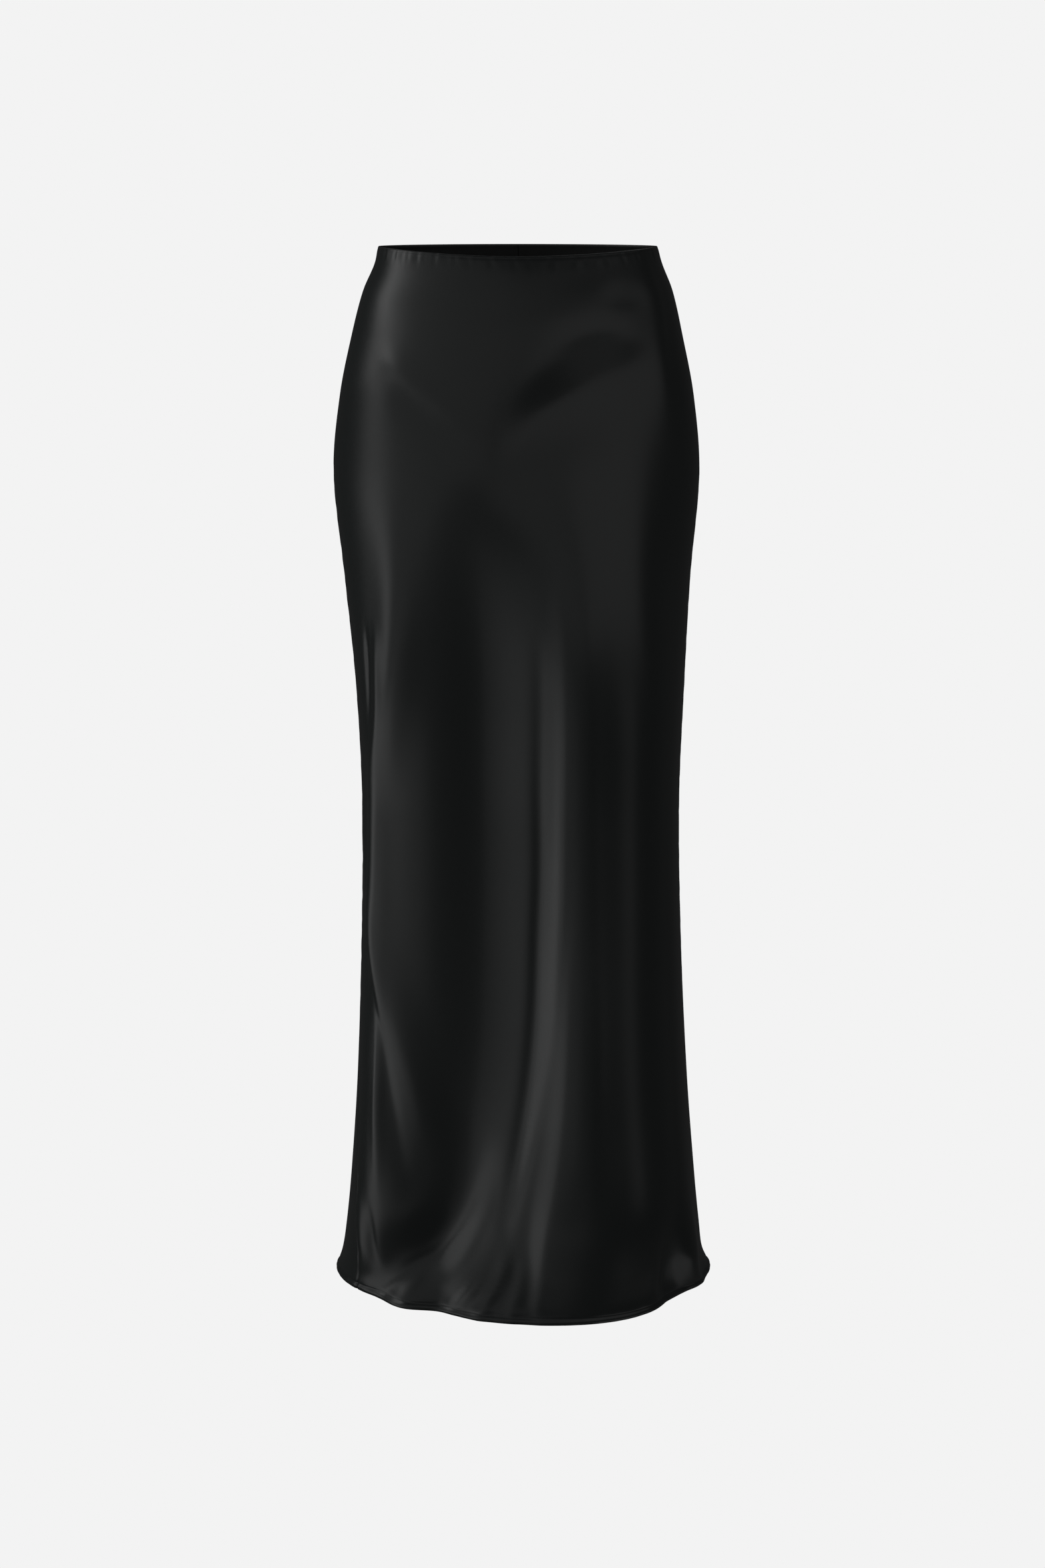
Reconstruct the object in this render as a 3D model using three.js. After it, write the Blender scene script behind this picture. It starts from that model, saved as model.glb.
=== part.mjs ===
// A long bias-cut satin skirt, filled out as it hangs when it is worn, open at waist and hem.
// Millimetres, +Z up. The origin is the middle of the waist opening. The front faces -Y, and
// +X is on the right of someone who looks at the front.
//
// A place on the cloth has two numbers:
//   turn  degrees round from the centre front, positive towards +X, with the sides near 90 and -90
//   down  millimetres below the waist edge, and LENGTH at the hem edge

import * as THREE from "three";

// Driving sizes
const LENGTH = 961;
const WALL = 1.2;
const INNER_LAYER = 1;
const GAP = 0.3;
const HEM_DEPTH = 7;
const FACING_DEPTH = 17;
const WAIST_DIP = 7; // how much lower the waist edge lies at the centre front than at the sides
const HEM_DIP = 11; // and the hem edge
const SIDE_TAPER = 0.08; // how far the section is drawn in on its way to a side
const COLUMNS = 30; // facets round one panel

// Facets from the waist to the hem: each row ends its stretch at "to"
const STRETCHES = [
  { to: FACING_DEPTH, facets: 2 },
  { to: 45, facets: 2 },
  { to: 245, facets: 6 },
  { to: 845, facets: 13 },
  { to: LENGTH - HEM_DEPTH, facets: 4 },
  { to: LENGTH, facets: 1 },
];

// The outline: half the width, how far its middle is off centre, the depth to front and back, and
// how squarely the front is filled out towards its left and right corners
const SECTIONS = [
  { down: 0, half: 127, shift: 0, front: 93, back: 88, leftCorner: 0.25, rightCorner: 0.1 },
  { down: 16, half: 131, shift: 0.5, front: 98.5, back: 91, leftCorner: 0.25, rightCorner: 0.15 },
  { down: 40, half: 141, shift: 0, front: 105, back: 98, leftCorner: 0.18, rightCorner: 0.2 },
  { down: 80, half: 151, shift: -0.7, front: 114, back: 109, leftCorner: 0.05, rightCorner: 0.2 },
  { down: 135, half: 162, shift: -1, front: 119.5, back: 121, leftCorner: 0.1, rightCorner: 0.15 },
  { down: 205, half: 168, shift: -1.3, front: 125, back: 128, leftCorner: 0, rightCorner: 0.1 },
  { down: 300, half: 159.5, shift: -0.4, front: 126, back: 125, leftCorner: 0.15, rightCorner: 0.3 },
  { down: 400, half: 152, shift: 2, front: 122.5, back: 121, leftCorner: 0.7, rightCorner: 0.9 },
  { down: 510, half: 147.5, shift: 2.5, front: 116, back: 119, leftCorner: 0.78, rightCorner: 1.1 },
  { down: 640, half: 149.5, shift: 3, front: 115.5, back: 121, leftCorner: 0.88, rightCorner: 1.28 },
  { down: 770, half: 155, shift: 4, front: 122.5, back: 128, leftCorner: 1.15, rightCorner: 1.35 },
  { down: 865, half: 162, shift: 4.5, front: 134.5, back: 137, leftCorner: 1.05, rightCorner: 1.5 },
  { down: 915, half: 167, shift: 4.5, front: 137, back: 143, leftCorner: 0.75, rightCorner: 1.3 },
  { down: 943, half: 171, shift: 4.2, front: 142, back: 147, leftCorner: 0.4, rightCorner: 0.7 },
  { down: LENGTH, half: 178, shift: 5.2, front: 147, back: 152, leftCorner: 0.1, rightCorner: 0 },
];

// Where the side seams run: the bias lets them twist round towards the hem
const SEAMS = [
  { down: 0, left: -88, right: 88 },
  { down: 300, left: -88, right: 86 },
  { down: 520, left: -88, right: 86 },
  { down: 720, left: -84, right: 91 },
  { down: 850, left: -73, right: 101 },
  { down: LENGTH, left: -62, right: 111 },
];

// The largest folds. Each follows a line over the cloth, "out" is how far it stands out there
// (or, below zero, sinks in), and "left" and "right" are how wide it is to each side of its line.
const FOLDS = [
  {
    name: "front valley",
    left: 44,
    right: 56,
    line: [
      { turn: -11, down: 200, out: 0 },
      { turn: -12, down: 275, out: -11.5 },
      { turn: -12.8, down: 360, out: -18.5 },
      { turn: -13.6, down: 440, out: -17.5 },
      { turn: -13.4, down: 551, out: -15.3 },
      { turn: -13.8, down: 672, out: -13.8 },
      { turn: -15, down: 732, out: -12.7 },
      { turn: -18, down: 792, out: -14 },
      { turn: -20.6, down: 840, out: -16 },
      { turn: -26, down: 883, out: -13 },
      { turn: -33, down: 915, out: -6 },
      { turn: -40, down: 945, out: 0 },
    ],
  },
  {
    name: "valley foot",
    left: 28,
    right: 20,
    line: [
      { turn: -14.5, down: 800, out: 0 },
      { turn: -17.5, down: 842, out: -6 },
      { turn: -25, down: 883, out: -11 },
      { turn: -34.8, down: 915, out: -15 },
      { turn: -44.5, down: 938, out: -11 },
      { turn: -53, down: 957, out: -3 },
    ],
  },
  {
    name: "left hem lobe",
    left: 24,
    right: 24,
    line: [
      { turn: -40, down: 900, out: 0 },
      { turn: -39, down: 935, out: 5 },
      { turn: -38, down: 975, out: 16 },
    ],
  },
  {
    name: "left thigh",
    left: 26,
    right: 24,
    line: [
      { turn: -42, down: 220, out: 0 },
      { turn: -43, down: 300, out: 4 },
      { turn: -46, down: 362, out: 6 },
      { turn: -52, down: 424, out: 4 },
      { turn: -60, down: 490, out: 0 },
    ],
  },
  {
    name: "right crest",
    left: 60,
    right: 57,
    line: [
      { turn: 28, down: 150, out: 0 },
      { turn: 31, down: 230, out: 13 },
      { turn: 33, down: 310, out: 26 },
      { turn: 34, down: 400, out: 29.5 },
      { turn: 34, down: 480, out: 30.5 },
      { turn: 33.5, down: 560, out: 33 },
      { turn: 32.5, down: 640, out: 36 },
      { turn: 32, down: 720, out: 39 },
      { turn: 31.3, down: 790, out: 41 },
      { turn: 31.6, down: 850, out: 42 },
      { turn: 31, down: 900, out: 40.5 },
      { turn: 28.5, down: 940, out: 28 },
      { turn: 27, down: 975, out: 16 },
    ],
  },
  {
    name: "right hem hollow",
    left: 16,
    right: 24,
    line: [
      { turn: 45, down: 880, out: 0 },
      { turn: 47, down: 910, out: -5 },
      { turn: 48, down: 935, out: -8 },
      { turn: 48, down: 965, out: -8 },
    ],
  },
  {
    name: "right hem ridge",
    left: 24,
    right: 14,
    line: [
      { turn: 69, down: 870, out: 0 },
      { turn: 69, down: 905, out: 4 },
      { turn: 68, down: 935, out: 6 },
      { turn: 67, down: 965, out: 5 },
    ],
  },
  {
    name: "middle ridge",
    left: 8,
    right: 44,
    line: [
      { turn: 14, down: 280, out: 0 },
      { turn: 14.2, down: 345, out: 3 },
      { turn: 14.5, down: 430, out: 4.8 },
      { turn: 14.3, down: 500, out: 6 },
      { turn: 13.7, down: 570, out: 6.8 },
      { turn: 12.3, down: 640, out: 6.6 },
      { turn: 10.4, down: 705, out: 6 },
      { turn: 7.5, down: 760, out: 5.2 },
      { turn: 2.5, down: 825, out: 3 },
      { turn: -1.5, down: 883, out: 0 },
    ],
  },
  {
    name: "second ridge",
    left: 8,
    right: 44,
    line: [
      { turn: 17, down: 600, out: 0 },
      { turn: 14.9, down: 665, out: 3.6 },
      { turn: 13.5, down: 725, out: 5.2 },
      { turn: 11.7, down: 785, out: 5.6 },
      { turn: 9.2, down: 840, out: 5.8 },
      { turn: 6.8, down: 883, out: 6.4 },
      { turn: 6.3, down: 912, out: 5.1 },
      { turn: 5, down: 945, out: 4 },
    ],
  },
  {
    name: "hem valley",
    left: 24,
    right: 26,
    line: [
      { turn: -25, down: 913, out: 0 },
      { turn: -27.5, down: 943, out: -8 },
      { turn: -28.5, down: 975, out: -23 },
    ],
  },
  {
    name: "hip swell right",
    left: 36,
    right: 36,
    line: [
      { turn: 4, down: 72, out: 0 },
      { turn: 20, down: 64, out: 6 },
      { turn: 38, down: 57, out: 6 },
      { turn: 58, down: 50, out: 0 },
    ],
  },
  {
    name: "hip smile right",
    left: 26,
    right: 45,
    line: [
      { turn: 64, down: 92, out: 0 },
      { turn: 46, down: 104, out: -5 },
      { turn: 28, down: 117, out: -7 },
      { turn: 14, down: 132, out: -10 },
      { turn: 6, down: 152, out: -11 },
      { turn: 2, down: 174, out: -7 },
      { turn: -2, down: 200, out: 0 },
    ],
  },
  {
    name: "back right crest",
    left: 36,
    right: 36,
    line: [
      { turn: 142, down: 260, out: 0 },
      { turn: 144, down: 430, out: 8 },
      { turn: 143, down: 640, out: 12 },
      { turn: 147, down: 800, out: 9 },
      { turn: 154, down: 940, out: 3 },
    ],
  },
  {
    name: "back valley",
    left: 30,
    right: 30,
    line: [
      { turn: 182, down: 230, out: 0 },
      { turn: 184, down: 400, out: -8 },
      { turn: 185, down: 620, out: -15 },
      { turn: 189, down: 800, out: -13 },
      { turn: 199, down: 930, out: -7 },
    ],
  },
  {
    name: "back left crest",
    left: 30,
    right: 30,
    line: [
      { turn: 217, down: 300, out: 0 },
      { turn: 215, down: 470, out: 7 },
      { turn: 217, down: 650, out: 11 },
      { turn: 222, down: 820, out: 8 },
      { turn: 230, down: 940, out: 3 },
    ],
  },
];

const MM_PER_DEGREE = 2.7; // cloth to a degree round, near enough at every height
const SAMPLES = 40; // places at which a fold's line is taken
const NUDGE = 0.5; // degrees to each side, where the cloth's direction is measured

// A smooth curve through values that stand at knots
function curve(knots, values, at) {
  const last = knots.length - 2;
  const passed = knots.filter((knot) => knot <= at).length - 1;
  const i = Math.min(Math.max(passed, 0), last);
  const span = knots[i + 1] - knots[i];
  const u = (at - knots[i]) / span;
  const start = slope(knots, values, i) * span;
  const end = slope(knots, values, i + 1) * span;
  const rise = values[i + 1] - values[i];
  const bend = start + end - 2 * rise;
  return values[i] + u * (start + u * (3 * rise - 2 * start - end + u * bend));
}

function slope(knots, values, i) {
  const before = Math.max(i - 1, 0);
  const after = Math.min(i + 1, knots.length - 1);
  return (values[after] - values[before]) / (knots[after] - knots[before]);
}

// One column of a table at a height, on a smooth curve through its rows
function column(rows, name, down) {
  return curve(rows.map((row) => row.down), rows.map((row) => row[name]), down);
}

// A fold's line as evenly spread places, each with its height
function trace(fold) {
  const rows = fold.line;
  const knots = rows.map((row, i) => i);
  const at = (name, u) => curve(knots, rows.map((row) => row[name]), u);
  const places = [];
  for (let i = 0; i <= SAMPLES; i += 1) {
    const u = (i / SAMPLES) * (rows.length - 1);
    places.push({ turn: at("turn", u), down: at("down", u), out: at("out", u) });
  }
  return places;
}

const TRACES = FOLDS.map((fold) => ({ left: fold.left, right: fold.right, places: trace(fold) }));

function degreesApart(a, b) {
  return THREE.MathUtils.euclideanModulo(a - b + 180, 360) - 180;
}

// How far one fold moves the cloth at a place: soft dabs laid along its line
function foldOut(fold, turn, down) {
  const reach = Math.max(fold.left, fold.right);
  let sum = 0;
  for (let i = 0; i < SAMPLES; i += 1) {
    const place = fold.places[i];
    const next = fold.places[i + 1];
    const across = (next.turn - place.turn) * MM_PER_DEGREE;
    const drop = next.down - place.down;
    const step = Math.hypot(across, drop);
    const aside = degreesApart(turn, (place.turn + next.turn) / 2) * MM_PER_DEGREE;
    const below = down - (place.down + next.down) / 2;
    const ahead = (aside * across + below * drop) / step;
    const beside = (aside * drop - below * across) / step;
    const width = beside < 0 ? fold.left : fold.right;
    const far = (ahead / reach) ** 2 + (beside / width) ** 2;
    sum += ((place.out + next.out) / 2) * step * Math.exp(-far);
  }
  return sum / (reach * Math.sqrt(Math.PI));
}

// A point of the skirt's outer face
function skin(turn, down) {
  const angle = THREE.MathUtils.degToRad(turn);
  const side = Math.sin(angle);
  const ahead = Math.cos(angle);
  const half = column(SECTIONS, "half", down);
  const depth = column(SECTIONS, ahead > 0 ? "front" : "back", down);
  const corner = ahead > 0 ? column(SECTIONS, side < 0 ? "leftCorner" : "rightCorner", down) : 0;
  const drawn = depth * (1 - SIDE_TAPER * side ** 2) * (1 + corner * side ** 6);
  const out = TRACES.reduce((sum, fold) => sum + foldOut(fold, turn, down), 0);
  const outward = new THREE.Vector2(side / half, -ahead / drawn).normalize();
  const x = column(SECTIONS, "shift", down) + half * side + out * outward.x;
  const y = -drawn * ahead + out * outward.y;
  const dip = THREE.MathUtils.lerp(WAIST_DIP, HEM_DIP, down / LENGTH) * Math.max(ahead, 0) ** 2;
  return new THREE.Vector3(x, y, -down - dip);
}

// A point that lies "inset" behind the outer face
function behind(turn, down, inset) {
  const here = skin(turn, down);
  const along = skin(turn + NUDGE, down).sub(skin(turn - NUDGE, down));
  const outward = new THREE.Vector3(along.y, -along.x, 0).normalize();
  return here.addScaledVector(outward, -inset);
}

// Half of the seam's gap, as a turn
function seamAllowance(turn, down) {
  const width = skin(turn + NUDGE, down).distanceTo(skin(turn - NUDGE, down));
  return (GAP / 2) * ((2 * NUDGE) / width);
}

// Turns spread evenly from one edge to the other, each edge standing clear of its seam
function spread(from, to, count, down) {
  const first = from + seamAllowance(from, down);
  const final = to - seamAllowance(to, down);
  return Array.from({ length: count + 1 }, (_, i) => first + ((final - first) * i) / count);
}

function frontTurns(down) {
  return spread(column(SEAMS, "left", down), column(SEAMS, "right", down), COLUMNS, down);
}

function backTurns(down) {
  return spread(column(SEAMS, "right", down), column(SEAMS, "left", down) + 360, COLUMNS, down);
}

// The facing runs all round inside, from the centre back to the centre back
function facingTurns(down) {
  const left = column(SEAMS, "left", down);
  const right = column(SEAMS, "right", down);
  const middle = (left + right) / 2;
  const backLeft = spread(middle - 180, left, COLUMNS / 2, down);
  const front = spread(left, right, COLUMNS, down);
  const backRight = spread(right, middle + 180, COLUMNS / 2, down);
  return [...backLeft.slice(0, -1), ...front, ...backRight.slice(1)];
}

// Heights of the facets' rows between two depths
function rowsBetween(from, to) {
  const rows = [0];
  for (const stretch of STRETCHES) {
    const start = rows[rows.length - 1];
    for (let i = 1; i <= stretch.facets; i += 1) {
      rows.push(start + ((stretch.to - start) * i) / stretch.facets);
    }
  }
  return rows.filter((down) => down >= from && down <= to);
}

// A closed wall of cloth between two insets, over the given rows and turns
function wall(rows, turnsAt, inset, thickness) {
  const outer = rows.map((down) => turnsAt(down).map((turn) => behind(turn, down, inset)));
  const inner = rows.map((down) => turnsAt(down).map((turn) => behind(turn, down, inset + thickness)));
  const wide = outer[0].length;
  const tall = rows.length;
  const positions = [...outer.flat(), ...inner.flat()].flatMap((point) => point.toArray());
  const o = (i, j) => j * wide + i;
  const n = (i, j) => wide * tall + j * wide + i;
  const faces = [];
  const quad = (a, b, c, d) => faces.push(a, b, c, a, c, d);
  for (let j = 0; j < tall - 1; j += 1) {
    for (let i = 0; i < wide - 1; i += 1) {
      quad(o(i, j), o(i, j + 1), o(i + 1, j + 1), o(i + 1, j));
      quad(n(i, j), n(i + 1, j), n(i + 1, j + 1), n(i, j + 1));
    }
  }
  for (let j = 0; j < tall - 1; j += 1) {
    quad(o(0, j + 1), o(0, j), n(0, j), n(0, j + 1));
    quad(o(wide - 1, j), o(wide - 1, j + 1), n(wide - 1, j + 1), n(wide - 1, j));
  }
  for (let i = 0; i < wide - 1; i += 1) {
    quad(o(i, 0), o(i + 1, 0), n(i + 1, 0), n(i, 0));
    quad(o(i + 1, tall - 1), o(i, tall - 1), n(i, tall - 1), n(i + 1, tall - 1));
  }
  const geometry = new THREE.BufferGeometry();
  geometry.setAttribute("position", new THREE.Float32BufferAttribute(positions, 3));
  geometry.setIndex(faces);
  geometry.computeVertexNormals();
  return geometry;
}

const satin = new THREE.MeshStandardMaterial({ color: 0x161616, roughness: 0.38, metalness: 0 });
const group = new THREE.Group();

function addPiece(name, geometry) {
  const piece = new THREE.Mesh(geometry, satin.clone());
  piece.name = name;
  group.add(piece);
}

const panelRows = rowsBetween(0, LENGTH);
const hemRows = rowsBetween(LENGTH - HEM_DEPTH, LENGTH);
const facingRows = rowsBetween(0, FACING_DEPTH);

addPiece("panel_front", wall(panelRows, frontTurns, 0, WALL));
addPiece("panel_back", wall(panelRows, backTurns, 0, WALL));
addPiece("hem_front", wall(hemRows, frontTurns, WALL + GAP, INNER_LAYER));
addPiece("hem_back", wall(hemRows, backTurns, WALL + GAP, INNER_LAYER));
addPiece("waist_facing", wall(facingRows, facingTurns, WALL + GAP, INNER_LAYER));

export default group;
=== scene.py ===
"""A long bias-cut skirt in black satin, filled out as it hangs when it is worn.

A place on the cloth has two numbers: "turn", in degrees round from the centre front, positive
towards +X, and "down", in millimetres below the waist edge. The cloth's sizes and tables are in
millimetres and degrees. Points, lights, floor and camera are in metres.
"""
import math

import bpy
import numpy as np
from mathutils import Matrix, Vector

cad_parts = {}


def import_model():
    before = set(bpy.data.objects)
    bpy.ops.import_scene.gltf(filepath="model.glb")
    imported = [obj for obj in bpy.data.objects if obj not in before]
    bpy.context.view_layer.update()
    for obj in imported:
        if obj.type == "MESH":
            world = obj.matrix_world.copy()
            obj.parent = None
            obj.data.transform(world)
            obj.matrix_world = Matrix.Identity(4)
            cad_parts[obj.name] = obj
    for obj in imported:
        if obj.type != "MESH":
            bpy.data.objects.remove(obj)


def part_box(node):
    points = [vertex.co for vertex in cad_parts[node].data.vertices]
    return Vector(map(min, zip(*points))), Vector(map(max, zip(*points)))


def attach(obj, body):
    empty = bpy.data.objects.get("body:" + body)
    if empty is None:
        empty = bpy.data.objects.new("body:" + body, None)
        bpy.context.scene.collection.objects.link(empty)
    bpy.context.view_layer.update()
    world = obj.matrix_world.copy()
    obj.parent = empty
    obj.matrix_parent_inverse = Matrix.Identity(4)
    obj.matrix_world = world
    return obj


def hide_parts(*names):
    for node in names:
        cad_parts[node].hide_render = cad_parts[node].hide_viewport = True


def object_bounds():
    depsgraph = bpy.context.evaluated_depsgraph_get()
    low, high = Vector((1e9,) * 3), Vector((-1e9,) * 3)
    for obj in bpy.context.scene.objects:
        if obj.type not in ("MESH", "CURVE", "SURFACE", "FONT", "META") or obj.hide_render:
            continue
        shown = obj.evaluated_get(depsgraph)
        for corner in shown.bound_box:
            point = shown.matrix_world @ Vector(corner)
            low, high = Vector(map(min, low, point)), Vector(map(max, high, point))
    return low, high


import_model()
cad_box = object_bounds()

MM = 0.001

# ---------------------------------------------------------------- sizes
PANEL_LOW, PANEL_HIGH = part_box("panel_front")
FACING_LOW, FACING_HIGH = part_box("waist_facing")
WAIST_DIP = 7.0       # the centre front of the waist edge lies lower than its sides
HEM_DIP = 11.0        # and so does the centre front of the hem
LENGTH = (PANEL_HIGH.z - PANEL_LOW.z) / MM - HEM_DIP
FACING_DEPTH = (FACING_HIGH.z - FACING_LOW.z) / MM - WAIST_DIP
HEM_DEPTH = 6.6       # how far the hem is turned up inside
CLOTH = 0.5           # thickness of the shown cloth
INNER_INSET = 1.0     # the facing and the turned hem lie this far behind the outer face
FACING_END = 179.9    # the facing's two ends stop at this turn, just short of the centre back
SEAM_EDGE = 0.03      # half of a seam's gap, in degrees
HEM_LAP = 0.8         # the front's turned hem passes the seams by this turn
SEAM_LAP = 3.0        # the back's seam allowance reaches this far under the front
LAP_INSET = 0.95      # and lies this far behind the outer face
SHORT_LAP = 0.1       # the same two where the facing or the turned hem takes up the room
SHORT_INSET = 0.02
LAP_STEP = 0.01       # the turn over which the allowance drops under
FACING_CLEAR = 4      # the allowance starts this far below the facing
HEM_CLEAR = 2         # and ends this far above the turned hem
SIDE_TAPER = 0.08     # the share by which the section grows shallower towards its sides
CORNER_POWER = 6      # how close to a side a filled-out corner keeps
MM_PER_DEGREE = 2.7   # cloth to a degree round, about the same at every height

# stitches
HEM_STITCH = 6.0      # the hem's lie this far above its edge
WAIST_STITCH = 2.2    # and the waist's this far below its edge
ONCE_ROUND = 359.5    # the turn of a row that stops just short of its own start
STITCH_PITCH = 2.1    # from one stitch to the next
STITCH = (0.75, 0.16, 0.14)   # half a stitch's length and width, and how far it stands out
STITCH_ROOT = 0.2     # the share of that by which it sinks into the cloth
STITCH_SAMPLES = 1200  # places at which a row's line over the cloth is taken
STITCH_REACH = 0.5    # the cloth this far above and below a row gives the way that it faces

# satin: its textures' scales are to a metre of cloth, its relief is in metres
BIAS = 45             # degrees from the skirt's length to its threads
SLUB_SCALE = 2600
SLUB_STRETCH = 0.12   # the slubs are drawn out along the threads
SLUB_DETAIL = 3
GRAIN_SCALE = 1100
GRAIN_DETAIL = 2
GRAIN_CONTRAST = 0.25
SATIN_ANISOTROPY = 0.35
SATIN_SPREAD = 0.05   # how far the slubs take the roughness up and down
SATIN_BUMP = 0.12
SATIN_RELIEF = 0.0002

# sewing thread, in the same units
TWIST_SCALE = 3000
TWIST_DETAIL = 2
TWIST_CONTRAST = 0.3
THREAD_ROUGHNESS = 0.5
THREAD_BUMP = 0.3
THREAD_RELIEF = 0.0001

# ---------------------------------------------------------------- the form, as tables
# half the width, how far its middle is off centre, the depth to the front and the back, and how
# squarely the front is filled out towards the left and the right side
SECTIONS = np.array([
    # down, half, shift, front, back, left corner, right corner
    (0, 127, 0, 93, 88, 0.25, 0.1),
    (16, 131, 0.5, 98.5, 91, 0.25, 0.15),
    (40, 141, 0, 105, 98, 0.18, 0.2),
    (80, 151, -0.7, 114, 109, 0.05, 0.2),
    (135, 162, -1, 119.5, 121, 0.1, 0.15),
    (205, 168, -1.3, 125, 128, 0, 0.1),
    (300, 159.5, -0.4, 126, 125, 0.15, 0.3),
    (400, 152, 2, 122.5, 121, 0.7, 0.9),
    (510, 147.5, 2.5, 116, 119, 0.78, 1.1),
    (640, 149.5, 3, 115.5, 121, 0.88, 1.28),
    (770, 155, 4, 122.5, 128, 1.15, 1.35),
    (865, 162, 4.5, 134.5, 137, 1.05, 1.5),
    (915, 167, 4.5, 137, 143, 0.75, 1.3),
    (943, 171, 4.2, 142, 147, 0.4, 0.7),
    (LENGTH, 178, 5.2, 147, 152, 0.1, 0),
])
# its columns
HALF, SHIFT, FRONT, BACK, LEFT_CORNER, RIGHT_CORNER = range(1, 7)

# where the side seams run: the bias lets them twist round towards the hem
SEAMS = np.array([
    # down, left, right
    (0, -88, 88),
    (300, -88, 86),
    (520, -88, 86),
    (720, -84, 91),
    (850, -73, 101),
    (LENGTH, -62, 111),
])
# its columns
LEFT, RIGHT = 1, 2

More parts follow.
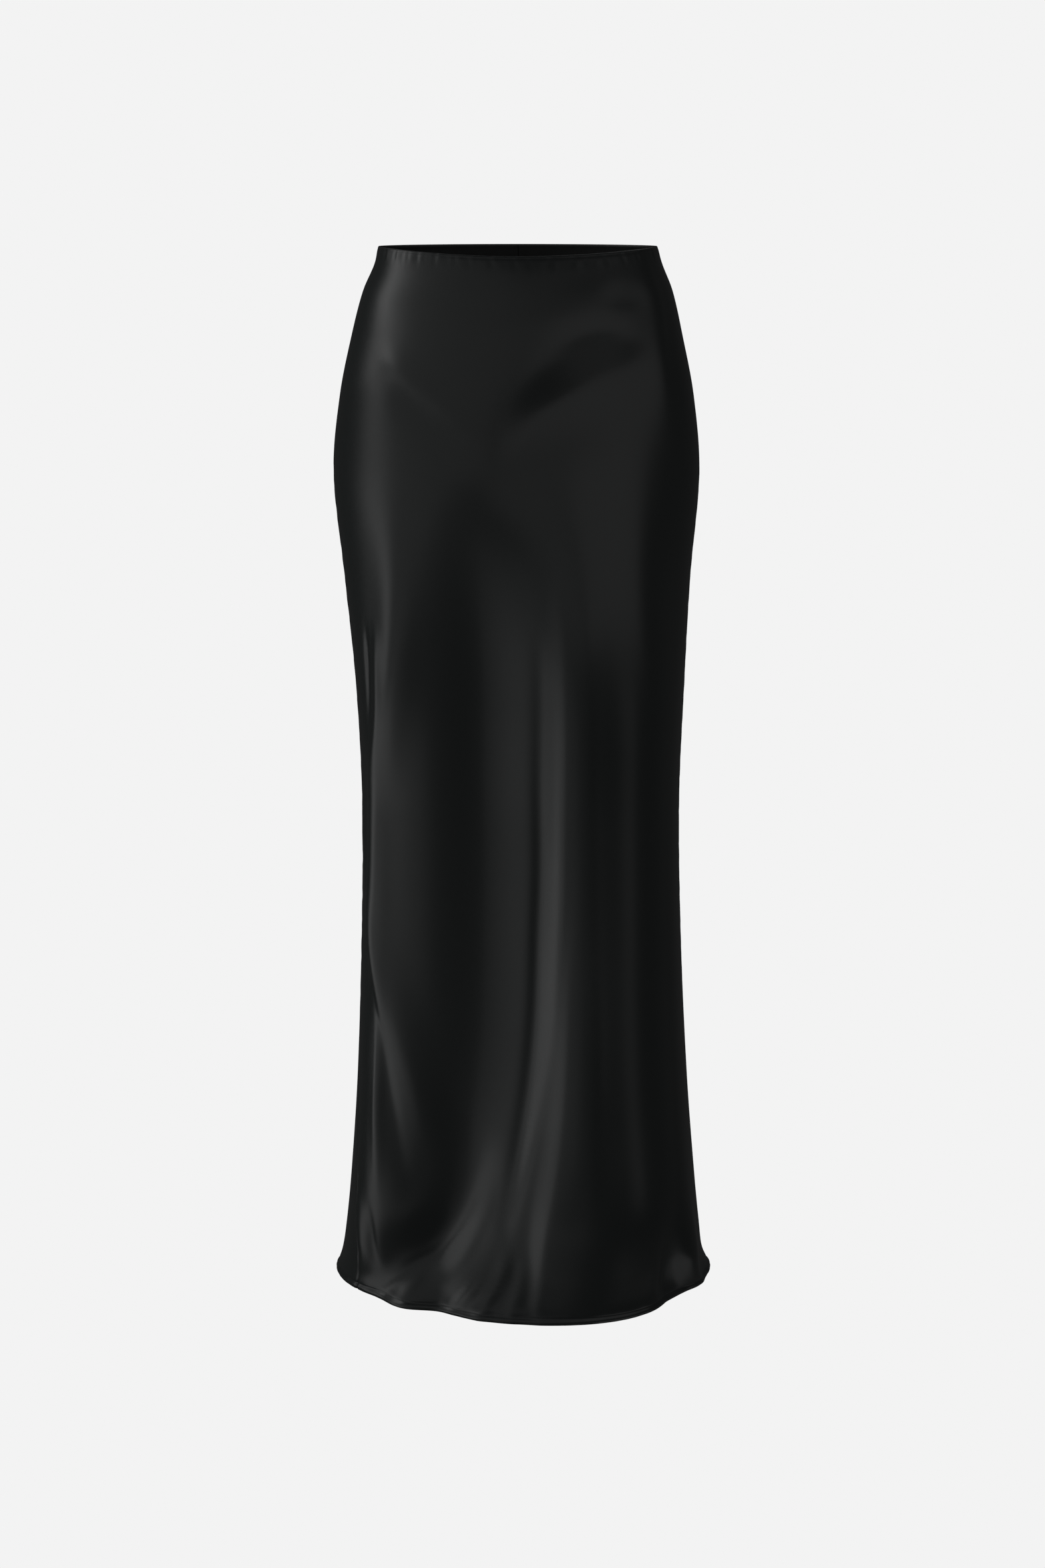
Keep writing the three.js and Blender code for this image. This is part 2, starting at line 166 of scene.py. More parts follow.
# Each fold follows a line down the cloth. "out" is how far it stands out there, or sinks in below
# zero, and the two reaches are how wide it is to the left and to the right of its line.
FOLDS = [
    # name, left reach, right reach, [(turn, down, out), ...]
    ("front valley", 44, 56, [(-11, 200, 0), (-12, 275, -11.5), (-12.8, 360, -18.5), (-13.6, 440, -17.5),
                              (-13.4, 551, -15.3), (-13.8, 672, -13.8), (-15, 732, -12.7),
                              (-18, 792, -14), (-20.6, 840, -16), (-26, 883, -13),
                              (-33, 915, -6), (-40, 945, 0)]),
    ("valley foot", 28, 20, [(-14.5, 800, 0), (-17.5, 842, -6), (-25, 883, -11),
                             (-34.8, 915, -15), (-44.5, 938, -9), (-53, 957, -2)]),
    ("left hem lobe", 24, 24, [(-40, 900, 0), (-39, 935, 5), (-38, 975, 16)]),
    ("left thigh", 26, 24, [(-42, 220, 0), (-43, 300, 4), (-46, 362, 6), (-52, 424, 4),
                            (-60, 490, 0)]),
    ("right crest", 60, 57, [(28, 150, 0), (31, 230, 13), (33, 310, 26), (34, 400, 29.5),
                             (34, 480, 30.5), (33.5, 560, 33), (32.5, 640, 36), (32, 720, 39),
                             (31.3, 790, 41), (31.6, 850, 42), (31, 900, 40.5), (28.5, 940, 28),
                             (27, 975, 16)]),
    ("right hem hollow", 16, 24, [(45, 880, 0), (47, 910, -5), (48, 935, -8), (48, 965, -8)]),
    ("right hem ridge", 24, 14, [(69, 870, 0), (69, 905, 4), (68, 935, 6), (67, 965, 5)]),
    ("right hem corner", 13, 13, [(52, 885, 0), (55, 912, -1.6), (57, 936, -2.8), (59, 962, -2.4)]),
    ("middle dip", 7, 6, [(7, 320, 0), (7, 380, -1.1), (6.8, 460, -1.6), (7, 540, -2.2),
                          (6, 610, -2.4), (4.8, 680, -2.3), (2, 750, -2.1), (-2, 815, -1.8),
                          (-7, 880, -0.4)]),
    ("middle ridge", 8, 44, [(14, 280, 0), (14.2, 345, 3), (14.5, 430, 4.8), (14.3, 500, 6),
                             (13.7, 570, 6.8), (12.3, 640, 6.6), (10.4, 705, 6), (7.5, 760, 5.2),
                             (2.5, 825, 3), (-1.5, 883, 0)]),
    ("second ridge", 8, 44, [(17, 600, 0), (14.9, 665, 3.6), (13.5, 725, 5.2), (11.7, 785, 5.6),
                             (9.2, 840, 5.8), (6.8, 883, 6.4), (6.3, 912, 5.1), (5, 945, 4)]),
    ("hem valley", 24, 26, [(-25, 913, 0), (-27.5, 943, -8), (-28.5, 975, -23)]),
    ("hem ray", 6, 6, [(-11, 908, 0), (-15.5, 931, 2), (-20, 946, 2), (-24, 962, 1)]),
    ("hem ray", 6, 5, [(-4, 895, 0), (-6.5, 917, 1.4), (-9, 932, 1.6), (-12, 948, 1.4), (-14, 962, 1)]),
    ("hem ray", 5, 6, [(1, 895, 0), (0, 917, 1), (-1, 931, 1.2), (-3, 948, 1.2), (-4, 962, 0.8)]),
    ("left pucker", 5, 5, [(-62, 335, 0), (-63.5, 360, -1.8), (-64.5, 385, -1.8), (-66, 420, -1.2),
                           (-69, 450, 0)]),
    ("left pull", 5, 9, [(-55, 335, 0), (-56.5, 366, 1.6), (-58.5, 410, 1.5), (-62, 445, 1),
                         (-67, 493, 0)]),
    ("left streak", 4, 14, [(-80, 480, 0), (-79, 515, 1.6), (-77, 549, 2.4), (-73, 580, 2.2),
                            (-69, 611, 2), (-65, 645, 1.6), (-61, 680, 1), (-57, 710, 0)]),
    ("left shoulder", 18, 22, [(-54, 640, 0), (-49, 690, 1.6), (-42, 735, 2.8), (-36, 785, 2.4),
                               (-31, 840, 0)]),
    ("left trough", 20, 13, [(-68, 640, 0), (-63, 690, -1.8), (-57, 735, -2.8), (-51, 785, -2.4),
                             (-46, 825, -1.2), (-42, 860, 0)]),
    ("left corner", 14, 22, [(-64, 430, 0), (-65, 490, 3.6), (-65, 590, 5), (-64, 660, 3.2),
                             (-62, 730, 0)]),
    ("thigh swell", 40, 26, [(15, 200, 0), (16, 260, 1.2), (18, 320, 3), (20, 380, 2), (22, 430, 0)]),
    ("crest edge", 16, 10, [(20, 300, 0), (20.5, 380, 2), (21, 480, 3), (21, 600, 3.4),
                            (20.5, 720, 3.4), (19.5, 800, 2.6), (18, 860, 0)]),
    ("right hip edge", 22, 16, [(60, 0, 1), (60, 40, 2), (57, 100, 2), (56, 140, 0.5),
                                (56, 180, 0)]),
    ("left hem wedge", 7, 7, [(-62, 870, 0), (-59, 900, -2), (-57, 918, -2), (-54, 935, 0)]),
    ("left seam ridge", 9, 9, [(-62, 690, 0), (-61, 735, 1.6), (-60, 785, 2), (-58, 830, 1.2),
                               (-57, 865, 0)]),
    ("left hem bulge", 9, 9, [(-70, 860, 0), (-68, 885, 2), (-64, 915, 2), (-60, 940, 1)]),
    ("hip smile, left", 18, 18, [(-44, 115, 0), (-37, 128, -2.2), (-28, 146, -3), (-18, 162, -2),
                                 (-12, 170, 0)]),
    ("hip ridge, left", 12, 12, [(-52, 92, 0), (-46, 98, 1.5), (-37, 110, 2), (-26, 130, 1.5),
                                 (-14, 150, 0)]),
    ("hip swell, right", 36, 36, [(4, 72, 0), (20, 64, 6), (38, 57, 6), (58, 50, 0)]),
    ("hip smile, right", 26, 45, [(64, 92, 0), (46, 104, -5), (28, 117, -7), (14, 132, -10),
                                  (6, 152, -11), (2, 174, -7), (-2, 200, 0)]),
    ("hip dent, right", 26, 16, [(14, 88, 0), (22, 84, -3.6), (31, 79, -3.8), (41, 73, 0)]),
    ("waist dent, right", 14, 12, [(30, 44, 0), (38, 42, -2), (46, 40, -2), (54, 36, 0)]),
    ("back right crest", 36, 36, [(142, 260, 0), (144, 430, 8), (143, 640, 12), (147, 800, 9),
                                  (154, 940, 3)]),
    ("back valley", 30, 30, [(182, 230, 0), (184, 400, -8), (185, 620, -15), (189, 800, -13),
                             (199, 930, -7)]),
    ("back left crest", 30, 30, [(217, 300, 0), (215, 470, 7), (217, 650, 11), (222, 820, 8),
                                 (230, 940, 3)]),
    ("back dip", 10, 8, [(166, 380, 0), (167, 480, -3), (165, 600, -4.5), (168, 720, -3.5),
                        (173, 830, 0)]),
    ("back smile, left", 16, 30, [(232, 96, 0), (220, 108, -4), (206, 122, -6), (194, 138, -5),
                                  (186, 160, 0)]),
    ("back smile, right", 15, 24, [(134, 104, 0), (145, 118, -3), (156, 130, -4), (166, 150, 0)]),
    ("back hem ray", 7, 9, [(176, 880, 0), (180, 915, 2), (186, 945, 3), (190, 962, 1)]),
    ("back hem ray", 6, 7, [(158, 895, 0), (161, 925, 2), (165, 950, 2), (167, 962, 1)]),
    ("back hem ray", 8, 6, [(205, 890, 0), (210, 925, -2), (213, 950, -3), (214, 962, -2)]),
    ("back pucker", 4, 6, [(118, 330, 0), (115, 370, 2), (117, 420, 1.5), (122, 470, 0)]),
    ("back pucker", 5, 5, [(248, 420, 0), (245, 460, 1.8), (247, 520, 1.5), (252, 560, 0)]),
]
DAB_SPACING = 0.7     # a fold is laid down in dabs, this share of its reach apart
FEWEST_DABS = 12
DAB_END = 3           # a dab is left out further off than this many reaches

# Small relief along the sewn edges: "out" is its height, "reach" how far it goes to each side.
SEAM_GROOVE = (-0.8, 1.4)     # out, reach
PUCKERS_START = 200           # the seams lie smooth above this
SEAM_PUCKERS = [
    # side, out, reach, wavelength, seed
    (LEFT, 0.35, 7, 19, 1.0),
    (RIGHT, 0.25, 6, 16, 2.0),
]
WAIST_RELIEF = [
    # below the edge, out, reach
    (WAIST_STITCH, -0.2, 0.7),
    (0, -0.5, 0.7),
]
HEM_RELIEF = [
    # above the edge, out, reach
    (HEM_STITCH, -0.6, 1.0),
    (2.8, 0.7, 1.8),
    (0, -0.6, 0.8),
]
WAIST_RIPPLE = (5, 0.3, 5, 13, 0.5)   # below the edge, out, reach, wavelength, seed
HEM_RIPPLE = (4, 0.3, 5, 17, 1.5)     # above the edge, then the same four
RIPPLE_WAVES = [
    # times the wavelength, times the seed, height
    (1, 1, 1),
    (1.71, 2.3, 1),
    (0.63, 4.1, 0.5),
]

# ---------------------------------------------------------------- facets
STRETCHES = [
    # from, to, spacing
    (0, 3, 0.75),
    (3, 11, 1.6),
    (11, 20, 3),
    (20, 935, 5.2),
    (935, 953, 3),
    (953, LENGTH, 0.9),
]
HEM_SPACING = 1.2
FACING_SPACING = 2
PANEL_COLUMNS = 218
LAP_COLUMNS = 4       # the columns that the seam laps add
FACING_COLUMNS = 240
SEAM_SHARES = np.array([0, 0.0007, 0.0016, 0.0028, 0.0045, 0.0075])   # columns beside a seam
MIDDLE_SHARE = 0.012  # where the evenly spread columns begin


# ---------------------------------------------------------------- the cloth's form
def curve(knots, values, at):
    """A smooth curve through values that stand at knots."""
    knots, values, at = (np.asarray(a, float) for a in (knots, values, at))
    here = np.clip(np.searchsorted(knots, at, side="right") - 1, 0, len(knots) - 2)
    slopes = np.empty(len(knots))
    slopes[1:-1] = (values[2:] - values[:-2]) / (knots[2:] - knots[:-2])
    slopes[0] = (values[1] - values[0]) / (knots[1] - knots[0])
    slopes[-1] = (values[-1] - values[-2]) / (knots[-1] - knots[-2])
    span = knots[here + 1] - knots[here]
    share = (at - knots[here]) / span
    start = slopes[here] * span
    end = slopes[here + 1] * span
    rise = values[here + 1] - values[here]
    bend = start + end - 2 * rise
    return values[here] + share * (start + share * (3 * rise - 2 * start - end + share * bend))


def section(index, down):
    """A column of the outline's table at each height."""
    return curve(SECTIONS[:, 0], SECTIONS[:, index], down)


def seam(side, down):
    """The turn of the left or right side seam at each height."""
    return curve(SEAMS[:, 0], SEAMS[:, side], down)


def apart(turn, other):
    """How far one turn is from another, from -180 to 180."""
    return (turn - other + 180) % 360 - 180


def near(distance, reach):
    """1 at no distance, falling softly to nothing past the reach."""
    return np.exp(-(distance / reach) ** 2)


def dabs(reach, line):
    """A fold's line as close, evenly spread places: turn, down, out, and the step between them."""
    rows = np.array(line, float)
    knots = np.arange(len(rows))
    spans = np.hypot(np.diff(rows[:, 0]) * MM_PER_DEGREE, np.diff(rows[:, 1]))
    count = max(FEWEST_DABS, int((len(rows) - 1) * spans.max() / (DAB_SPACING * reach)))
    places = np.linspace(0, len(rows) - 1, count + 1)
    turn, down, out = (curve(knots, rows[:, k], places) for k in range(3))
    middles = [(a[1:] + a[:-1]) / 2 for a in (turn, down, out)]
    return (*middles, np.diff(turn) * MM_PER_DEGREE, np.diff(down))


def fold_out(turn, down, left, right, line):
    """How far one fold moves the cloth outward at each place: soft dabs laid along its line."""
    reach = max(left, right)
    end = DAB_END * reach
    amount = np.zeros(turn.shape)
    for dab_turn, dab_down, out, across, drop in zip(*dabs(reach, line)):
        aside = apart(turn, dab_turn) * MM_PER_DEGREE
        below = down - dab_down
        close = (np.abs(aside) < end) & (np.abs(below) < end)
        step = math.hypot(across, drop)
        ahead = (aside[close] * across + below[close] * drop) / step
        beside = (aside[close] * drop - below[close] * across) / step
        width = np.where(beside < 0, left, right)
        amount[close] += out * step * np.exp(-(ahead / reach) ** 2 - (beside / width) ** 2)
    return amount / (reach * math.sqrt(math.pi))


def ripple(along, wavelength, seed):
    """Uneven small waves along an edge, from -1 to 1, about a wavelength apart."""
    total = np.zeros(np.shape(along))
    for stretch, shift, height in RIPPLE_WAVES:
        total += height * np.sin(along * 2 * math.pi / (wavelength * stretch) + shift * seed)
    return total / sum(height for _, _, height in RIPPLE_WAVES)


def seam_relief(turn, down):
    """A groove along each side seam, and the puckers beside it."""
    relief = np.zeros(turn.shape)
    groove, groove_reach = SEAM_GROOVE
    for side, out, reach, wavelength, seed in SEAM_PUCKERS:
        distance = np.abs(apart(turn, seam(side, down))) * MM_PER_DEGREE
        relief += groove * near(distance, groove_reach)
        puckers = ripple(down, wavelength, seed) * (down > PUCKERS_START)
        relief += out * puckers * near(distance, reach)
    return relief


def edge_relief(turn, distance, rows, waves):
    """The relief beside the waist or hem edge, at a distance from it: grooves, bands and a ripple."""
    relief = np.zeros(turn.shape)
    for middle, out, reach in rows:
        relief += out * near(distance - middle, reach)
    middle, out, reach, wavelength, seed = waves
    relief += out * ripple(turn * MM_PER_DEGREE, wavelength, seed) * near(distance - middle, reach)
    return relief


def raised(turn, down):
    """How far the folds and the sewn edges move the cloth outward, in millimetres."""
    out = sum(fold_out(turn, down, left, right, line) for _, left, right, line in FOLDS)
    out += seam_relief(turn, down)
    out += edge_relief(turn, down, WAIST_RELIEF, WAIST_RIPPLE)
    out += edge_relief(turn, LENGTH - down, HEM_RELIEF, HEM_RIPPLE)
    return out


def skin(turn, down):
    """Points of the outer face, in metres."""
    angle = np.radians(turn)
    side = np.sin(angle)
    ahead = np.cos(angle)
    half = section(HALF, down)
    depth = np.where(ahead > 0, section(FRONT, down), section(BACK, down))
    corner = np.where(side < 0, section(LEFT_CORNER, down), section(RIGHT_CORNER, down)) * (ahead > 0)
    drawn = depth * (1 - SIDE_TAPER * side ** 2) * (1 + corner * side ** CORNER_POWER)
    across = side / half
    along = -ahead / drawn
    size = np.hypot(across, along)
    out = raised(turn, down)
    x = section(SHIFT, down) + half * side + out * across / size
    y = -drawn * ahead + out * along / size
    dip = (WAIST_DIP + (HEM_DIP - WAIST_DIP) * down / LENGTH) * np.maximum(ahead, 0) ** 2
    return np.stack([x, y, -down - dip], axis=-1) * MM


def outward(points):
    """Unit normals of a grid of points: rows go down, columns go round towards +turn."""
    down, along = np.gradient(points, axis=(0, 1))
    normal = np.cross(down, along)
    return normal / np.linalg.norm(normal, axis=-1, keepdims=True)


# ---------------------------------------------------------------- meshes
def mesh_object(name, vertices, faces, material, uv=None):
    """An object from vertices and faces that all have the same number of corners."""
    mesh = bpy.data.meshes.new(name)
    mesh.vertices.add(len(vertices))
    mesh.vertices.foreach_set("co", np.asarray(vertices, np.float32).ravel())
    faces = np.asarray(faces, np.int32)
    mesh.loops.add(faces.size)
    mesh.loops.foreach_set("vertex_index", faces.ravel())
    mesh.polygons.add(len(faces))
    mesh.polygons.foreach_set("loop_start", np.arange(0, faces.size, faces.shape[1], dtype=np.int32))
    mesh.update(calc_edges=True)
    mesh.polygons.foreach_set("use_smooth", np.ones(len(faces), bool))
    if uv is not None:
        layer = mesh.uv_layers.new(name="cloth")
        layer.data.foreach_set("uv", uv[faces.ravel()].astype(np.float32).ravel())
    mesh.materials.append(material)
    mesh.validate()
    piece = bpy.data.objects.new(name, mesh)
    bpy.context.scene.collection.objects.link(piece)
    return piece


def quads(a, b, c, d):
    """Faces from four arrays of corners."""
    return np.stack([corner.ravel() for corner in (a, b, c, d)], axis=1)


def shell(name, points, thickness, turn, down, material):
    """A closed thin sheet whose outer face is a grid of points."""
    tall, wide = points.shape[:2]
    inside = points - outward(points) * thickness
    vertices = np.concatenate([points.reshape(-1, 3), inside.reshape(-1, 3)])
    outer = np.arange(tall * wide).reshape(tall, wide)
    inner = outer + tall * wide
    faces = [
        quads(outer[:-1, :-1], outer[1:, :-1], outer[1:, 1:], outer[:-1, 1:]),
        quads(inner[:-1, :-1], inner[:-1, 1:], inner[1:, 1:], inner[1:, :-1]),
        quads(outer[1:, 0], outer[:-1, 0], inner[:-1, 0], inner[1:, 0]),
        quads(outer[:-1, -1], outer[1:, -1], inner[1:, -1], inner[:-1, -1]),
        quads(outer[0, :-1], outer[0, 1:], inner[0, 1:], inner[0, :-1]),
        quads(outer[-1, 1:], outer[-1, :-1], inner[-1, :-1], inner[-1, 1:]),
    ]
    uv = np.stack([turn * MM_PER_DEGREE * MM, -down * MM], axis=-1).reshape(-1, 2)
    return mesh_object(name, vertices, np.concatenate(faces), material, np.concatenate([uv, uv]))


# ---------------------------------------------------------------- materials
def graded(nodes, links, factor, low, high):
    """A colour ramp from low to high, driven by a factor."""
    ramp = nodes.new("ShaderNodeValToRGB")
    ramp.color_ramp.elements[0].color = (*low, 1)
    ramp.color_ramp.elements[1].color = (*high, 1)
    links.new(factor, ramp.inputs["Fac"])
    return ramp.outputs["Color"]


def shaded(nodes, links, factor, color, contrast):
    """A colour that a factor takes a little below and above itself."""
    dark = [c * (1 - contrast) for c in color]
    light = [c * (1 + contrast) for c in color]
    return graded(nodes, links, factor, dark, light)


def noise(nodes, links, vector, scale, detail):
    """A noise texture's factor at a vector."""
    texture = nodes.new("ShaderNodeTexNoise")
    texture.inputs["Scale"].default_value = scale
    texture.inputs["Detail"].default_value = detail
    links.new(vector, texture.inputs["Vector"])
    return texture.outputs["Fac"]


def bumped(nodes, links, height, strength, distance):
    """A normal that follows a height."""
    bump = nodes.new("ShaderNodeBump")
    bump.inputs["Strength"].default_value = strength
    bump.inputs["Distance"].default_value = distance
    links.new(height, bump.inputs["Height"])
    return bump.outputs["Normal"]


def satin(name, color, roughness, gloss):
    """Satin cut on the bias: slubs along threads that run at 45 degrees, and a fine grain."""
    material = bpy.data.materials.new(name)
    material.use_nodes = True
    nodes = material.node_tree.nodes
    links = material.node_tree.links
    shader = nodes["Principled BSDF"]
    shader.inputs["Anisotropic"].default_value = SATIN_ANISOTROPY
    shader.inputs["Specular IOR Level"].default_value = gloss
    uv = nodes.new("ShaderNodeUVMap")
    uv.uv_map = "cloth"
    bias = nodes.new("ShaderNodeMapping")
    bias.inputs["Rotation"].default_value = (0, 0, math.radians(BIAS))
    bias.inputs["Scale"].default_value = (1, SLUB_STRETCH, 1)
    links.new(uv.outputs["UV"], bias.inputs["Vector"])
    slubs = noise(nodes, links, bias.outputs["Vector"], SLUB_SCALE, SLUB_DETAIL)
    grain = noise(nodes, links, uv.outputs["UV"], GRAIN_SCALE, GRAIN_DETAIL)
    weave = nodes.new("ShaderNodeMath")
    weave.operation = "ADD"
    links.new(slubs, weave.inputs[0])
    links.new(grain, weave.inputs[1])
    links.new(shaded(nodes, links, grain, color, GRAIN_CONTRAST), shader.inputs["Base Color"])
    smooth = [roughness - SATIN_SPREAD] * 3
    rough = [roughness + SATIN_SPREAD] * 3
    links.new(graded(nodes, links, slubs, smooth, rough), shader.inputs["Roughness"])
    normal = bumped(nodes, links, weave.outputs["Value"], SATIN_BUMP, SATIN_RELIEF)
    links.new(normal, shader.inputs["Normal"])
    return material


def thread(name, color):
    """Twisted sewing thread."""
    material = bpy.data.materials.new(name)
    material.use_nodes = True
    nodes = material.node_tree.nodes
    links = material.node_tree.links
    shader = nodes["Principled BSDF"]
    shader.inputs["Roughness"].default_value = THREAD_ROUGHNESS
    place = nodes.new("ShaderNodeTexCoord")
    twist = noise(nodes, links, place.outputs["Object"], TWIST_SCALE, TWIST_DETAIL)
    links.new(shaded(nodes, links, twist, color, TWIST_CONTRAST), shader.inputs["Base Color"])
    links.new(bumped(nodes, links, twist, THREAD_BUMP, THREAD_RELIEF), shader.inputs["Normal"])
    return material


# ---------------------------------------------------------------- making pieces
def downs(from_down, to_down, spacing):
    """Heights from one to another, about a spacing apart."""
    count = max(1, round((to_down - from_down) / spacing))
    return np.linspace(from_down, to_down, count + 1)


def shares(columns):
    """Places across a panel from 0 to 1, closer together beside its two seams."""
    middle = np.linspace(MIDDLE_SHARE, 1 - MIDDLE_SHARE, columns - 2 * len(SEAM_SHARES))
    return np.concatenate([SEAM_SHARES, middle, 1 - SEAM_SHARES[::-1]])[None, :]


def lapped(turn, inset, rows):
    """Two more columns at each edge: an allowance that lies under the next panel, clear of the
    facing and the turned hem."""
    clear = (rows > FACING_DEPTH + FACING_CLEAR) & (rows < LENGTH - HEM_DEPTH - HEM_CLEAR)
    reach = np.where(clear, SEAM_LAP, SHORT_LAP)[:, None] / MM_PER_DEGREE
    under = np.where(clear, LAP_INSET, SHORT_INSET)[:, None]
    before = [turn[:, :1] - reach, turn[:, :1] - LAP_STEP]
    after = [turn[:, -1:] + LAP_STEP, turn[:, -1:] + reach]
    turn = np.concatenate([*before, turn, *after], axis=1)
    inset = np.concatenate([under, under, inset, under, under], axis=1)
    return turn, inset


def panel(name, first, last, rows, columns, inset, material, laps=False):
    """A stretch of cloth between two edges, each given as a turn for each row."""
    turn = first[:, None] + (last - first)[:, None] * shares(columns)
    inset = np.full(turn.shape, float(inset))
    if laps:
        turn, inset = lapped(turn, inset, rows)
    down = np.repeat(rows[:, None], turn.shape[1], axis=1)
    points = skin(turn, down)
    points = points - outward(points) * inset[..., None] * MM
    return shell(name, points, CLOTH * MM, turn, down, material)


def sampled(places, travelled, values):
    """Vectors that stand along a line, taken where the line has run as far as each place."""
    return np.stack([np.interp(places, travelled, values[:, k]) for k in range(3)], axis=1)


def stitch_places(down, first, last, inset):
    """The stitches' middles, the cloth's normals there, and the way that the row runs."""
    turns = np.linspace(first, last, STITCH_SAMPLES)
    rows = np.array([down - STITCH_REACH, down, down + STITCH_REACH])
    turn, depth = np.meshgrid(turns, rows)
    points = skin(turn, depth)
    normal = outward(points)[1]
    line = points[1] - normal * inset * MM
    step = np.linalg.norm(np.diff(line, axis=0), axis=1)
    travelled = np.concatenate([[0], np.cumsum(step)])
    places = np.arange(STITCH_PITCH * MM, travelled[-1] - STITCH_PITCH * MM, STITCH_PITCH * MM)
    along = sampled(places, travelled, np.gradient(line, axis=0))
    along /= np.linalg.norm(along, axis=1, keepdims=True)
    return sampled(places, travelled, line), sampled(places, travelled, normal), along


def stitches(name, down, first, last, inset, side, material):
    """A row of stitches at one height, on the outer face for side 1 and the inner one for -1. Each
    is a ring of four corners with a top and a root."""
    centre, normal, along = stitch_places(down, first, last, inset)
    out = normal * side
    across = np.cross(along, out)
    length, width, height = (size * MM for size in STITCH)
    ring = [centre + along * length, centre + across * width, centre - along * length,
            centre - across * width]
    corners = [*ring, centre + out * height, centre - out * height * STITCH_ROOT]
    vertices = np.stack(corners, axis=1).reshape(-1, 3)
    top = [(k, (k + 1) % 4, 4) for k in range(4)]
    root = [((k + 1) % 4, k, 5) for k in range(4)]
    starts = np.arange(len(centre))[:, None, None] * len(corners)
    faces = (starts + np.array(top + root)[None]).reshape(-1, 3)
    return mesh_object(name, vertices, faces, material)


# ---------------------------------------------------------------- pieces
black = satin("black_satin", color=(0.024, 0.030, 0.030), roughness=0.3, gloss=1.0)
# The facing's black is painted about twice as light as the satin's. This stands in for light that hardly
# reaches inside the waist. Its roughness and gloss are its own duller finish.
painted_light_facing = satin("facing_satin_painted_light", color=(0.05, 0.052, 0.052), roughness=0.5, gloss=0.7)
cotton = thread("black_thread", color=(0.03, 0.03, 0.031))

panel_rows = np.concatenate([[0]] + [downs(*stretch)[1:] for stretch in STRETCHES])
left_seam = seam(LEFT, panel_rows)
right_seam = seam(RIGHT, panel_rows)
front = panel("satin_front", left_seam + SEAM_EDGE, right_seam - SEAM_EDGE, panel_rows,
              PANEL_COLUMNS, 0, black)
back = panel("satin_back", right_seam + SEAM_EDGE, left_seam + 360 - SEAM_EDGE, panel_rows,
             PANEL_COLUMNS - LAP_COLUMNS, 0, black, laps=True)

facing_rows = downs(0, FACING_DEPTH, FACING_SPACING)
facing_end = np.full(len(facing_rows), FACING_END)
facing = panel("inner_facing", -facing_end, facing_end, facing_rows, FACING_COLUMNS, INNER_INSET, painted_light_facing)

hem_rows = downs(LENGTH - HEM_DEPTH, LENGTH, HEM_SPACING)
hem_first = seam(LEFT, hem_rows) - HEM_LAP
hem_last = seam(RIGHT, hem_rows) + HEM_LAP
hem_front = panel("turned_front", hem_first, hem_last, hem_rows, PANEL_COLUMNS, INNER_INSET, black)
hem_back = panel("turned_back", hem_last + SEAM_EDGE, hem_first + 360 - SEAM_EDGE, hem_rows,
                 PANEL_COLUMNS, INNER_INSET, black)

PIECES = [
    # piece, the CAD node that it replaces, slot
    (front, "panel_front", "satin"),
    (back, "panel_back", "satin"),
    (facing, "waist_facing", "facing"),
    (hem_front, "hem_front", "satin"),
    (hem_back, "hem_back", "satin"),
]
for piece, node, slot in PIECES:
    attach(piece, "root")
    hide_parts(node)

hem_down = LENGTH - HEM_STITCH
hem_left = float(seam(LEFT, hem_down))
hem_right = float(seam(RIGHT, hem_down))
waist_left = float(seam(LEFT, WAIST_STITCH))
waist_right = float(seam(RIGHT, WAIST_STITCH))
THREADS = [
    # name, down, first turn, last turn, inset, side
    ("hem_stitches_front", hem_down, hem_left, hem_right, 0, 1),
    ("hem_stitches_back", hem_down, hem_right, hem_left + 360, 0, 1),
    ("waist_stitches_front", WAIST_STITCH, waist_left, waist_right, 0, 1),
    ("waist_stitches_back", WAIST_STITCH, waist_right, waist_left + 360, 0, 1),
    ("hem_stitches_inside", hem_down, hem_left, hem_left + ONCE_ROUND, INNER_INSET + CLOTH, -1),
]
for row in THREADS:
    sewn = stitches(*row, cotton)
    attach(sewn, "root")


# ---------------------------------------------------------------- floor, light and camera
CENTRE = Vector(((cad_box[0][0] + cad_box[1][0]) / 2, 0, (cad_box[0][2] + cad_box[1][2]) / 2))
PALE = (0.896, 0.896, 0.896, 1)   # the floor and what the camera sees behind the skirt
DIM = (0.03, 0.03, 0.03, 1)       # what the cloth sees where no light stands
FLOOR_HALF = 40                   # half the floor's side
FLOOR_DROP = 0.06                 # from the hem to the floor
LENS = 85                         # the lens and the sensor's height are in millimetres
SENSOR = 36
CLIP_END = 100
EYE_DISTANCE = 3.45
EYE_ELEVATION = 9.5               # in degrees
EYE_AIM = Vector((-0.001, 0, -0.0103))   # where the camera looks, from the skirt's centre

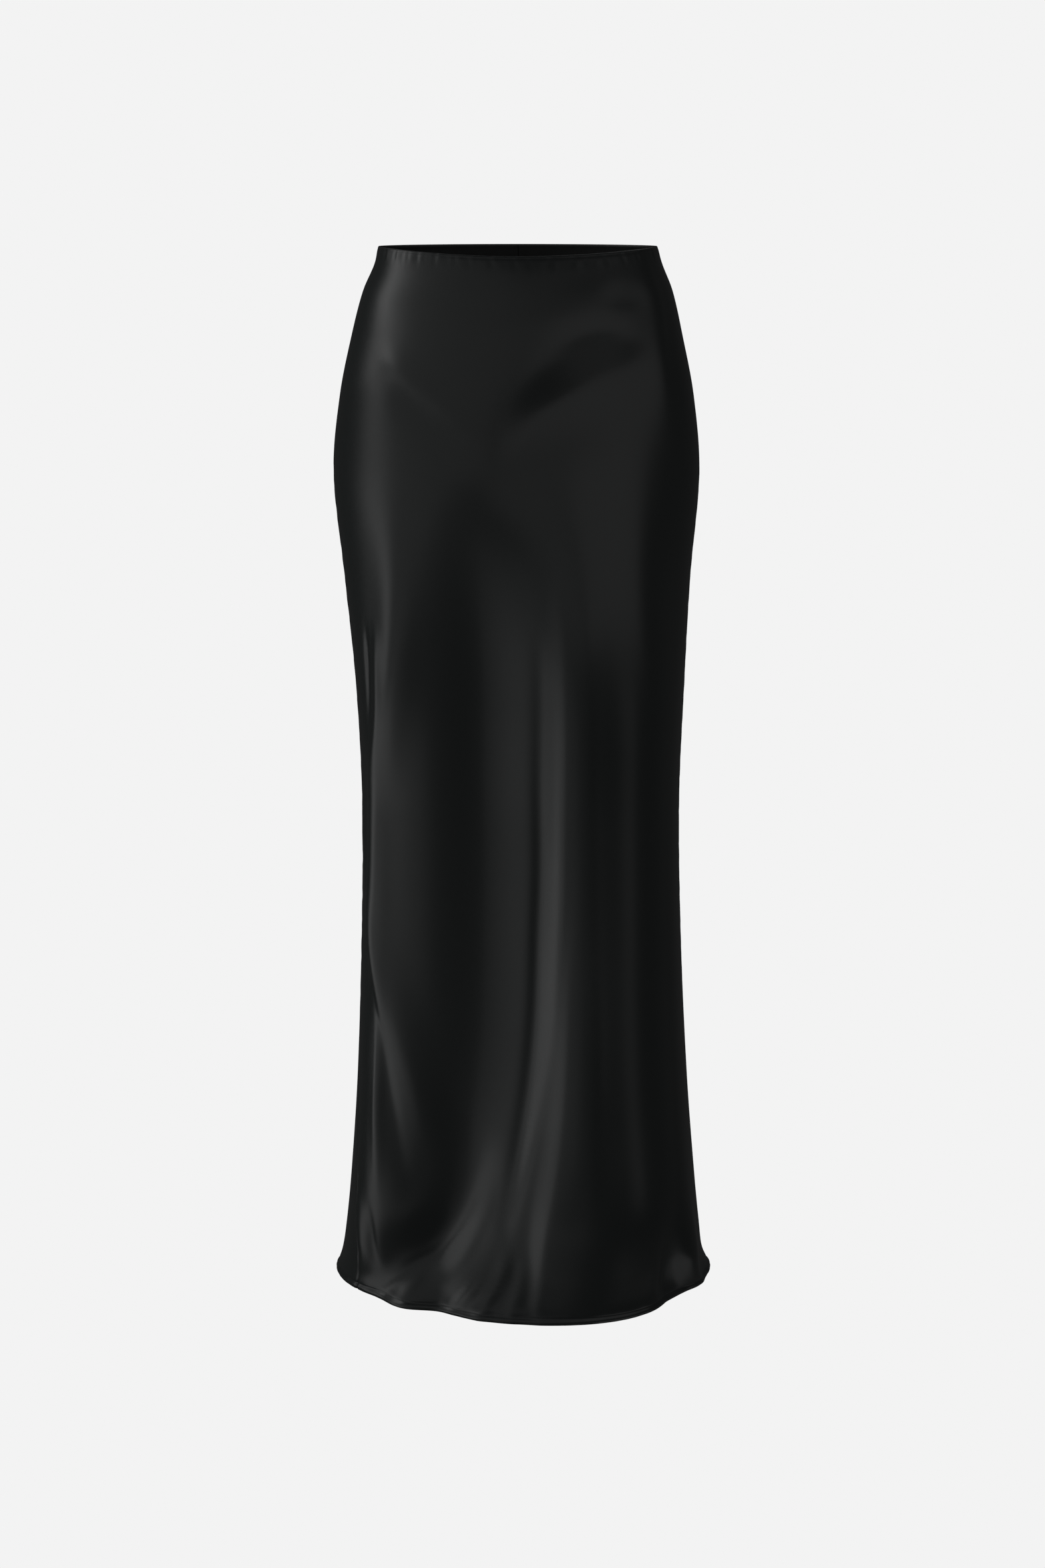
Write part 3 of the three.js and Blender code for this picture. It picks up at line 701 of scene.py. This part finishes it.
# Azimuth is in degrees, 0 in front and -90 on the left. Low and high are a light's lower and upper
# edges, above the waist edge.
LIGHTS = [
    # name, azimuth, distance, width, low, high, radiance
    ("strip_left", -83, 2.0, 0.6, -0.35, 2.2, 0.4),
    ("strip_middle_left", -86, 2.0, 0.7, -0.72, -0.35, 0.56),
    ("strip_knee_left", -86, 2.0, 0.7, -1.1, -0.72, 0.24),
    ("strip_core", -90, 2.0, 0.3, -1.02, -0.72, 0.6),
    ("strip_top_left", -94, 2.0, 0.5, 0.25, 2.2, 1.05),
    ("high_left", -66, 2.5, 1.1, -0.6, 2.2, 0.09),
    ("low_left", -69, 2.0, 1.4, -1.9, -0.8, 0.26),
    ("low_left_wide", -61, 2.0, 2.5, -1.9, -0.9, 0.15),
    ("middle_left", -48, 2.5, 1.3, -0.8, -0.58, 0.17),
    ("front_left", -28, 3.0, 3.2, -0.65, 2.2, 0.105),
    ("front_right", 42, 3.0, 4.6, -0.5, 2.1, 0.145),
    ("low_right", 52, 3.0, 1.1, -1.3, -0.7, 0.11),
    ("floor_right", 68, 1.5, 2.2, -5, -2.1, 0.155),
    ("floor_middle", -17, 3.0, 1.3, -2.5, -1.5, 0.08),
    ("back_high", 180, 2.0, 2.5, 1.4, 2.8, 0.4),
]


def stage():
    """A wide plain floor, evenly pale."""
    white = bpy.data.materials.new("pale_floor")
    white.use_nodes = True
    nodes = white.node_tree.nodes
    links = white.node_tree.links
    nodes.clear()
    glow = nodes.new("ShaderNodeEmission")
    glow.inputs["Color"].default_value = PALE
    output = nodes.new("ShaderNodeOutputMaterial")
    links.new(glow.outputs["Emission"], output.inputs["Surface"])
    z = cad_box[0][2] - FLOOR_DROP
    corners = [(-FLOOR_HALF, -FLOOR_HALF, z), (FLOOR_HALF, -FLOOR_HALF, z),
               (FLOOR_HALF, FLOOR_HALF, z), (-FLOOR_HALF, FLOOR_HALF, z)]
    floor = mesh_object("floor", corners, [(0, 1, 2, 3)], white)
    floor.visible_diffuse = False
    floor.visible_glossy = False
    floor.visible_shadow = False


def world():
    """Pale behind the skirt, and dim all round it."""
    sky = bpy.data.worlds.new("studio")
    bpy.context.scene.world = sky
    sky.use_nodes = True
    nodes = sky.node_tree.nodes
    links = sky.node_tree.links
    nodes.clear()
    seen = nodes.new("ShaderNodeBackground")
    seen.inputs["Color"].default_value = PALE
    around = nodes.new("ShaderNodeBackground")
    around.inputs["Color"].default_value = DIM
    path = nodes.new("ShaderNodeLightPath")
    mix = nodes.new("ShaderNodeMixShader")
    output = nodes.new("ShaderNodeOutputWorld")
    links.new(path.outputs["Is Camera Ray"], mix.inputs["Fac"])
    links.new(around.outputs["Background"], mix.inputs[1])
    links.new(seen.outputs["Background"], mix.inputs[2])
    links.new(mix.outputs["Shader"], output.inputs["Surface"])


def softbox(name, azimuth, distance, width, low, high, radiance):
    """An upright panel light that faces the skirt."""
    data = bpy.data.lights.new(name, "AREA")
    data.shape = "RECTANGLE"
    data.size = width
    data.size_y = high - low
    data.energy = radiance * math.pi * width * (high - low)
    light = bpy.data.objects.new(name, data)
    turn = math.radians(azimuth)
    away = Vector((math.sin(turn), -math.cos(turn), 0))
    light.location = away * distance + Vector((CENTRE.x, CENTRE.y, (low + high) / 2))
    light.rotation_euler = (-away).to_track_quat("-Z", "Y").to_euler()
    light.visible_camera = False
    bpy.context.scene.collection.objects.link(light)


def camera():
    """A studio lens a little above the middle of the skirt."""
    data = bpy.data.cameras.new("camera")
    data.sensor_fit = "VERTICAL"
    data.sensor_height = SENSOR
    data.lens = LENS
    data.clip_end = CLIP_END
    eye = bpy.data.objects.new("camera", data)
    elevation = math.radians(EYE_ELEVATION)
    target = CENTRE + EYE_AIM
    eye.location = target + Vector((0, -math.cos(elevation), math.sin(elevation))) * EYE_DISTANCE
    eye.rotation_euler = (target - eye.location).to_track_quat("-Z", "Y").to_euler()
    bpy.context.scene.collection.objects.link(eye)
    bpy.context.scene.camera = eye


stage()
world()
for light in LIGHTS:
    softbox(*light)
camera()
bpy.context.scene.view_settings.view_transform = "Standard"
